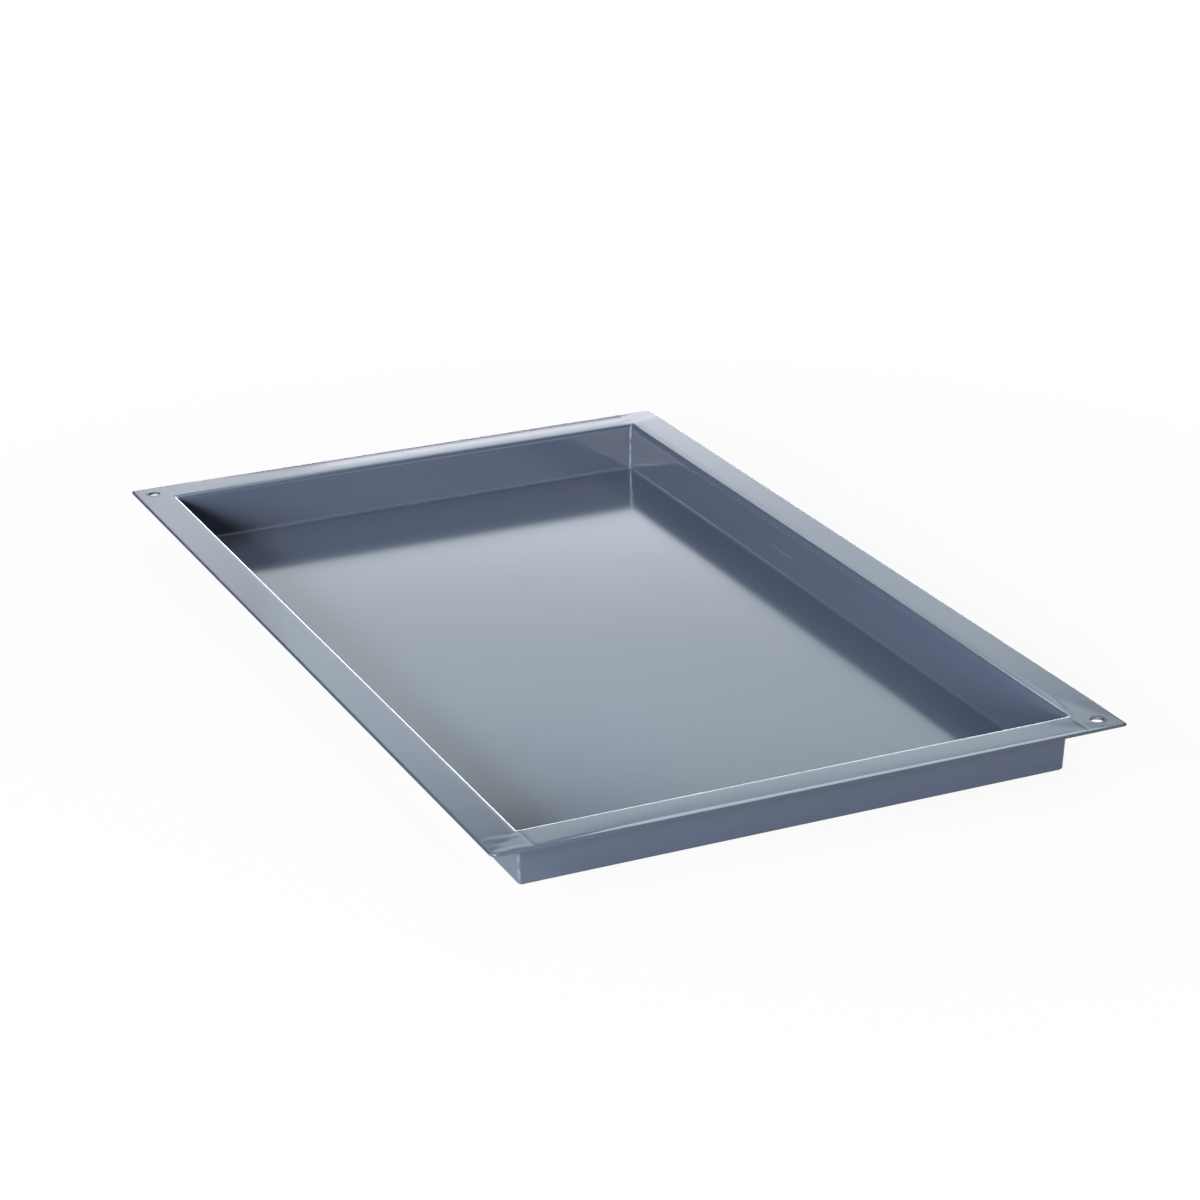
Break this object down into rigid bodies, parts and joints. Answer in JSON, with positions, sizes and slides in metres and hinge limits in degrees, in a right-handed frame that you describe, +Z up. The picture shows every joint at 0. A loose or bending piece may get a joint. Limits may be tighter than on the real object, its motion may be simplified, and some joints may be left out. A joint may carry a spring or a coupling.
{
  "type": "gastronorm tray",
  "caption": "Shallow rectangular enamelled steel tray with sloping walls, a flat rim for oven runners and hanging holes in opposite rim corners.",
  "frame": {"origin": "on the surface that the tray stands on, under the middle of the base", "axes": "+X across the tray, +Y along it, +Z up, with the open side on top; the front is the short side at -Y"},
  "size_m": [0.325, 0.53, 0.0285],
  "materials": {
    "sheet_steel": "degreased cold-rolled low-carbon steel",
    "weld_metal": "weld run ground flush",
    "inner_enamel": "semi-gloss blue-grey vitreous enamel",
    "outer_enamel": "semi-gloss blue-grey vitreous enamel"
  },
  "bodies": {
    "root": {"pan_sheet": "sheet_steel", "corner_weld_front_left": "weld_metal", "corner_weld_front_right": "weld_metal", "corner_weld_rear_left": "weld_metal", "corner_weld_rear_right": "weld_metal", "rim_weld_front_left": "weld_metal", "rim_weld_front_right": "weld_metal", "rim_weld_rear_left": "weld_metal", "rim_weld_rear_right": "weld_metal", "inner_enamel": "inner_enamel", "outer_enamel": "outer_enamel"}
  },
  "joints": []
}
